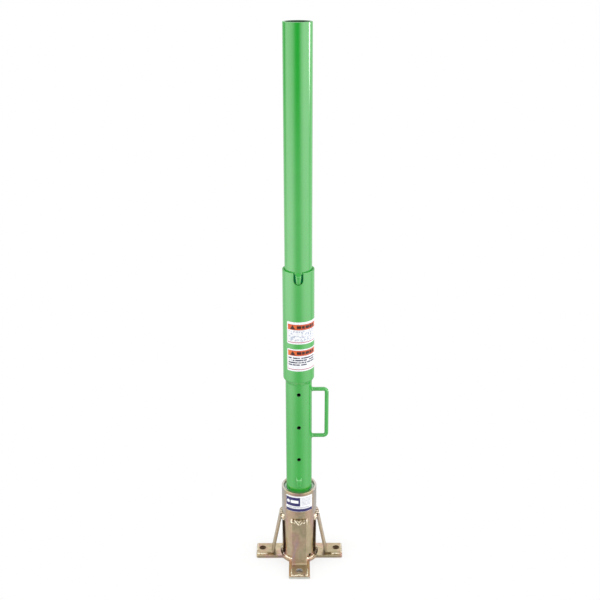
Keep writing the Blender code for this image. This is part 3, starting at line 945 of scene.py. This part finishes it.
def lower_tube(green):
    tube = plain("lower_tube_painted", mast_tube("lower_tube", 1 * MM))
    reach = Vector((0, 2 * MAST_RADIUS, 0))
    holes = [Vector((0, 0, low("lower_tube").z + height)) for height in PIN_HOLE_HEIGHTS]
    carve(tube, [rod(PIN_HOLE, at - reach, at + reach) for at in holes], 0.7 * MM)
    dress(tube, green, "lower_mast", "green_paint", "lower_tube")


def collar(green):
    """The socket: a rounded rim with the key's notch, and a nose that curves in to the tube."""
    outline = rounded(
        [
            (COLLAR_BORE, COLLAR_BOTTOM, 0),
            (COLLAR_NOSE, COLLAR_BOTTOM, 0.4 * MM),
            (COLLAR_RADIUS, COLLAR_BOTTOM + COLLAR_TAPER, 4.5 * MM),
            (COLLAR_RADIUS, COLLAR_TOP, 1.6 * MM),
            (COLLAR_BORE, COLLAR_TOP, 1.2 * MM),
        ]
    )
    socket = plain("collar_socket", turned(outline))
    half = NOTCH_WIDTH / 2
    middle = COLLAR_TOP - NOTCH_DEPTH + half
    slot = [(-half, COLLAR_TOP + 5 * MM), (half, COLLAR_TOP + 5 * MM)]
    for k in range(25):
        turn = math.pi * k / 24
        slot.append((half * math.cos(turn), middle - half * math.sin(turn)))
    bm = prism(slot, 2 * COLLAR_RADIUS)
    bmesh.ops.rotate(bm, cent=(0, 0, 0), matrix=Matrix.Rotation(QUARTER_TURN, 3, "X"), verts=bm.verts)
    carve(socket, [plain("cutter", bm)], 0.25 * MM)
    dress(socket, green, "lower_mast", "green_paint", "collar")


def collar_weld(green):
    """A weld ground to a hollow curve that runs from the tube's side into the collar's nose."""
    tall, overlap = 7.0 * MM, 0.6 * MM
    inside, reach = MAST_RADIUS + 0.02 * MM, COLLAR_NOSE + 0.42 * MM - MAST_RADIUS
    outline = [(inside, COLLAR_BOTTOM + overlap), (inside, COLLAR_BOTTOM + overlap - tall)]
    for k in range(13):
        share = k / 12
        outline.append((inside + 0.01 * MM + reach * share**2.3, outline[1][1] + tall * share))
    piece("collar_weld_bead", turned(outline), green, "lower_mast", "green_paint", "collar_weld", crease=60)


KEY_LEVELS = [  # up the key: (share of its height, share of its reach, share of its width)
    (0.00, 0.55, 0.58), (0.04, 0.86, 0.63), (0.10, 1.00, 0.66), (0.40, 1.00, 0.79), (0.68, 1.00, 0.91),
    (0.76, 0.86, 0.94), (0.88, 0.48, 0.97), (1.00, 0.08, 1.00),
]  # fmt: skip
KEY_SECTION = [  # round the key: (share of its half width, share of its stand)
    (-1, 0), (-1, 0.70), (-0.80, 0.87), (-0.38, 1.0), (0.38, 1.0), (0.80, 0.87), (1, 0.70), (1, 0),
]  # fmt: skip


def key(node, body, green, drop=0.0):
    """A lug with chamfered sides that narrows downward under a sloping top. drop seats it lower."""
    bottom, top = low(node).z - drop, high(node).z
    wide, reach = high(node).x, -low(node).y - MAST_RADIUS
    back = MAST_RADIUS - 0.4 * MM
    rings = []
    for up, out, share in KEY_LEVELS:
        ring = []
        for side, rise in KEY_SECTION:
            heading = FRONT + side * share * wide / MAST_RADIUS
            stand = back + (reach * out + 0.4 * MM) * rise
            ring.append(on_circle(stand, heading, bottom + (top - bottom) * up))
        rings.append(ring)
    lug = plain(f"{node}_lug", loft(rings))
    soften(lug, 0.6 * MM, 2)
    dress(lug, green, body, "green_paint", node)


def key_bead(green):
    """The weld bead down both sides of the lower key and under it, thicker at the top."""
    bottom, top, wide = low("lower_key").z, high("lower_key").z, high("lower_key").x
    seam = []
    for k in range(15):
        up = 0.97 - 0.95 * k / 14
        heading = FRONT - wide * (0.58 + 0.42 * up) / MAST_RADIUS
        seam.append(on_circle(MAST_RADIUS + 0.2 * MM, heading, bottom + (top - bottom) * up))
    seam += [Vector((-point.x, point.y, point.z)) for point in seam[::-1]]

    def size(share):
        return (1.35 + 0.5 * max(0, abs(2 * share - 1) - 0.62) / 0.38) * MM

    bm = bead(seam, size, pitch=2.4 * MM, ripple=0.12, lean=0.8, up=(0, -1, 0), seed=5)
    piece("lower_key_weld_bead", bm, green, "lower_mast", "green_paint", crease=60)


def notch_painted_shade(dark):
    """Thin sheets of dark, matt painted shade down each side of the upper key, inside the notch."""
    bottom = COLLAR_TOP - NOTCH_DEPTH
    top, wide = high("upper_key").z, high("upper_key").x
    half = NOTCH_WIDTH / 2 - 0.4 * MM
    middle = bottom + NOTCH_WIDTH / 2
    for side, name in ((-1, "left"), (1, "right")):
        rings = []
        for k in range(25):
            height = bottom + 4.5 * MM + (top - 8.5 * MM - bottom) * k / 24
            drop = max(0.0, middle - height)
            outer = math.sqrt(max(0.0, half**2 - drop**2))
            inner = min(wide * 0.5, outer - 0.6 * MM)
            ring = []
            for at, out in ((inner, 0.05), (outer, 0.05), (outer, 0.30), (inner, 0.30)):
                ring.append(on_circle(MAST_RADIUS + out * MM, FRONT + side * at / MAST_RADIUS, height))
            rings.append(ring)
        piece(f"notch_painted_shade_{name}", loft(rings), dark, "upper_mast", "green_paint")


def handle(green):
    rod_radius = HANDLE_ROD / 2
    bottom = low("handle").z + rod_radius
    top = high("handle").z - rod_radius
    reach = high("handle").x - rod_radius
    foot = MAST_RADIUS - 1.0 * MM
    corners = [(foot, bottom), (reach, bottom), (reach, top), (foot, top)]
    path = [Vector((x, 0, z)) for x, z in rounded_path(corners, [HANDLE_BEND, HANDLE_BEND], 12)]
    bm = sweep(path, lambda i, angle: rod_radius, 32, up=(0, 1, 0))
    piece("handle_bar", bm, green, "lower_mast", "green_paint", "handle")
    for end, height, spread in (("bottom", bottom, 4.2 * MM), ("top", top, 3.4 * MM)):
        handle_weld(end, height, spread, green)


def handle_weld(end, height, spread, green):
    """A fillet that flares from the bar to the tube's round side, lightly rippled."""
    bar = HANDLE_ROD / 2 - 0.3 * MM
    dice = random.Random(end)
    around = 72
    rings = []
    for k in range(around):
        angle = 2 * math.pi * k / around
        wave = 1 + 0.07 * math.sin(angle * 9) + 0.05 * dice.uniform(-1, 1)
        ring = []
        for t in (0.0, 0.2, 0.4, 0.6, 0.8, 1.0):
            radius = bar + spread * wave * (1 - math.sin(t * QUARTER_TURN)) ** 0.9
            y, z = radius * math.cos(angle), radius * math.sin(angle)
            face = math.sqrt(MAST_RADIUS**2 - y * y)
            climb = spread * 1.15 * wave * (1 - math.cos(t * QUARTER_TURN)) ** 0.9
            ring.append((face + climb, y, height + z))
        inner_y, inner_z = bar * 0.8 * math.cos(angle), bar * 0.8 * math.sin(angle)
        ring.append((MAST_RADIUS + spread * 0.9, inner_y, height + inner_z))
        ring.append((MAST_RADIUS - 1.0 * MM, inner_y, height + inner_z))
        rings.append(ring)
    node = f"handle_weld_{end}"
    bm = loft(rings, closed=True)
    piece(f"{node}_bead", bm, green, "lower_mast", "green_paint", node, crease=60)


def label(node, radius, left, right, finish, body):
    """A thin curved sheet with rounded corners. left and right are millimetres round from the front."""
    bottom, top = low(node).z, high(node).z
    corner, edge = 3.5 * MM, 0.12 * MM
    width = (right - left) * MM
    stops = [corner * (1 - math.cos(QUARTER_TURN * k / 6)) for k in range(7)]
    middle = [corner + (width - 2 * corner) * k / 40 for k in range(1, 40)]
    spots = stops + middle + [width - stop for stop in stops[::-1]]
    inner, outer = radius + TOUCH, radius + TOUCH + 0.3 * MM
    rings = []
    for at in spots:
        inset = max(0.0, corner - min(at, width - at))
        trim = corner - math.sqrt(max(0.0, corner**2 - inset**2)) - 0.02 * MM * (inset >= corner)
        heading = FRONT + (left * MM + at) / radius
        foot, head = bottom + trim, top - trim
        section = [(inner, foot), (outer - edge, foot), (outer, foot + edge)]
        section += [(outer, head - edge), (outer - edge, head), (inner, head)]
        rings.append([on_circle(out, heading, height) for out, height in section])
    piece(f"{node}_film", loft(rings), finish, body, "label_film", node)


# ---- studio ----


FLOOR_SOLID, FLOOR_END = 0.20, 0.48
FLOOR_SHARE = 0.3  # the rest is the white room showing through


def floor():
    """A pale disc that fades into the white room, so that it has no edge."""
    bm = bmesh.new()
    bmesh.ops.create_circle(bm, cap_ends=True, segments=96, radius=FLOOR_END)
    ground = plain("floor", bm)
    look = Recipe("pale_floor")
    far = look.add("VectorMath", {0: look.place}, operation="LENGTH").outputs["Value"]
    grit = look.ramp(look.noise(0.25), [(0.3, 0.92), (0.7, 0.95)])
    shown = look.math("MULTIPLY", look.fade(far, FLOOR_END, FLOOR_SOLID), FLOOR_SHARE)
    look.set(base_color=grit, roughness=0.6, alpha=shown)
    ground.data.materials.append(look.material)


# Light from bands of elevation: the sines between which a band fades in, and its level at degrees from the
# camera's side toward +X. The lowest stands for the studio's floor.
BANDS = [
    (
        None,
        [
            (-180, 0.5), (-110, 0.6), (-70, 0.86), (-35, 0.62), (0, 0.40), (35, 0.62), (70, 0.90),
            (110, 0.6), (180, 0.5),
        ],
    ),
    (
        (-0.55, -0.34),
        [
            (-180, 0.9), (-140, 0.9), (-124, 0.95), (-114, 1.05), (-106, 1.4), (-90, 1.65), (-62, 1.8),
            (-45, 1.55), (-36, 1.3), (-28, 1.05), (-20, 0.82), (-10, 0.68), (0, 0.65), (9, 0.68),
            (18, 0.82), (27, 1.1), (36, 1.3), (50, 1.5), (80, 1.45), (90, 1.4), (106, 0.9),
            (116, 0.9), (126, 1.1), (140, 1.0), (180, 0.8),
        ],
    ),
    (
        (-0.31, -0.10),
        [
            (-180, 0.9), (-140, 0.8), (-124, 0.30), (-114, 0.30), (-106, 1.0), (-90, 1.5), (-62, 1.35),
            (-45, 1.1), (-36, 0.85), (-28, 0.6), (-20, 0.26), (-10, 0.07), (0, 0.03), (9, 0.07),
            (18, 0.45), (27, 1.0), (36, 1.3), (50, 1.7), (80, 1.6), (90, 1.5), (106, 0.6),
            (116, 0.6), (126, 1.1), (140, 0.9), (180, 0.6),
        ],
    ),
    (
        (0.10, 0.20),
        [(-180, 0.5), (-120, 0.5), (-70, 1.0), (-45, 2.5), (45, 2.5), (70, 1.0), (120, 0.5), (180, 0.5)],
    ),
    (
        (0.36, 0.52),
        [(-180, 1.2), (-130, 1.2), (-85, 2.2), (-35, 0.4), (35, 0.4), (85, 2.2), (130, 1.2), (180, 1.2)],
    ),
]  # fmt: skip
STRIP = [(-180, 0), (94, 0), (100, 1), (107, 1), (111, 0), (180, 0)]  # a narrow light at the right
STRIP_LEVEL = 9.0
STRIP_FOOT, STRIP_HEAD = (-0.17, -0.085), (0.06, 0.0)  # the sines between which its ends fade

CAMERA_AT = (0, -2.328, 1.761)
CAMERA_PITCH, CAMERA_ROLL = math.radians(22.38), math.radians(-0.2)
CAMERA_LENS, CAMERA_SENSOR = 53.95, 36.0
CAMERA_SHIFT = (0.0025, 0.0253)


def studio():
    """A white room as seen directly. It lights from both sides and from overhead in front."""
    world = bpy.data.worlds.new("studio")
    bpy.context.scene.world = world
    world.use_nodes = True
    look = Nodes(world.node_tree)
    direction = look.add("TexCoord", {}).outputs["Generated"]
    split = look.add("SeparateXYZ", {"Vector": direction})
    x, y, z = (split.outputs[axis] for axis in "XYZ")
    heading = look.math("ARCTAN2", x, look.math("MULTIPLY", y, -1.0))
    turn = look.math("MULTIPLY_ADD", heading, 1 / (2 * math.pi), 0.5)

    def level(stops, most):
        marks = [(degrees / 360 + 0.5, value / most) for degrees, value in stops]
        return look.math("MULTIPLY", look.ramp(turn, marks), most)

    lit = None
    for fade, stops in BANDS:
        band = level(stops, max(value for degrees, value in stops))
        lit = look.mix(look.fade(z, *fade), lit, band) if lit else band
    strip = look.product(level(STRIP, 1.0), look.fade(z, *STRIP_FOOT), look.fade(z, *STRIP_HEAD))
    lit = look.math("MULTIPLY_ADD", strip, STRIP_LEVEL, lit)
    seen = look.add("LightPath", {}).outputs["Is Camera Ray"]
    background = world.node_tree.nodes["Background"]
    background.inputs["Color"].default_value = (1, 1, 1, 1)
    look.feed(background.inputs["Strength"], look.mix(seen, lit, (1.0, 1.0, 1.0)))


def camera():
    """A standing person's view: in front, a little above the post's top, looking down at it."""
    lens = bpy.data.cameras.new("camera")
    lens.sensor_width = CAMERA_SENSOR
    lens.lens = CAMERA_LENS
    lens.shift_x, lens.shift_y = CAMERA_SHIFT
    eye = bpy.data.objects.new("camera", lens)
    tilt = Matrix.Rotation(QUARTER_TURN - CAMERA_PITCH, 4, "X")
    eye.matrix_world = Matrix.Translation(CAMERA_AT) @ tilt @ Matrix.Rotation(CAMERA_ROLL, 4, "Z")
    bpy.context.scene.collection.objects.link(eye)
    bpy.context.scene.camera = eye


def main():
    green = green_paint()
    zinc = yellow_zinc("yellow_zinc_plating")
    flat_zinc = yellow_zinc("yellow_zinc_flat_bar", dull=0.18)
    bright = yellow_zinc("zinc_plated_weld", bright=0.9)
    base_plate(zinc)
    base_sleeve(zinc)
    foot_weld(bright)
    for side in SIDES:
        brace(side, flat_zinc)
        brace_weld(side, bright)
        flange_weld(side, bright)
    maker = printed_film("base_label_print", SLEEVE_RADIUS, maker_print)
    label("base_label", SLEEVE_RADIUS, -BASE_LABEL_HALF, BASE_LABEL_HALF, maker, "base")
    sleeve_liner(pale_plastic())
    lower_tube(green)
    collar(green)
    collar_weld(green)
    key("lower_key", "lower_mast", green)
    key_bead(green)
    handle(green)
    for name, margin, small_print in (("mast_label_upper", 7.0, False), ("mast_label_lower", 3.5, True)):
        bottom, top = low(name).z / MM, high(name).z / MM
        layout = notice_print(bottom, top, margin, small_print)
        notice = printed_film(f"{name}_print", COLLAR_RADIUS, layout)
        label(name, COLLAR_RADIUS, MAST_LABEL_LEFT, MAST_LABEL_RIGHT, notice, "lower_mast")
    upper_tube(green)
    key("upper_key", "upper_mast", green, drop=0.5 * MM)
    # sheets of painted shade in the notch beside the upper key
    notch_painted_shade(painted_shade_green())
    floor()
    studio()
    camera()
    bpy.context.scene.view_settings.view_transform = "Standard"


main()
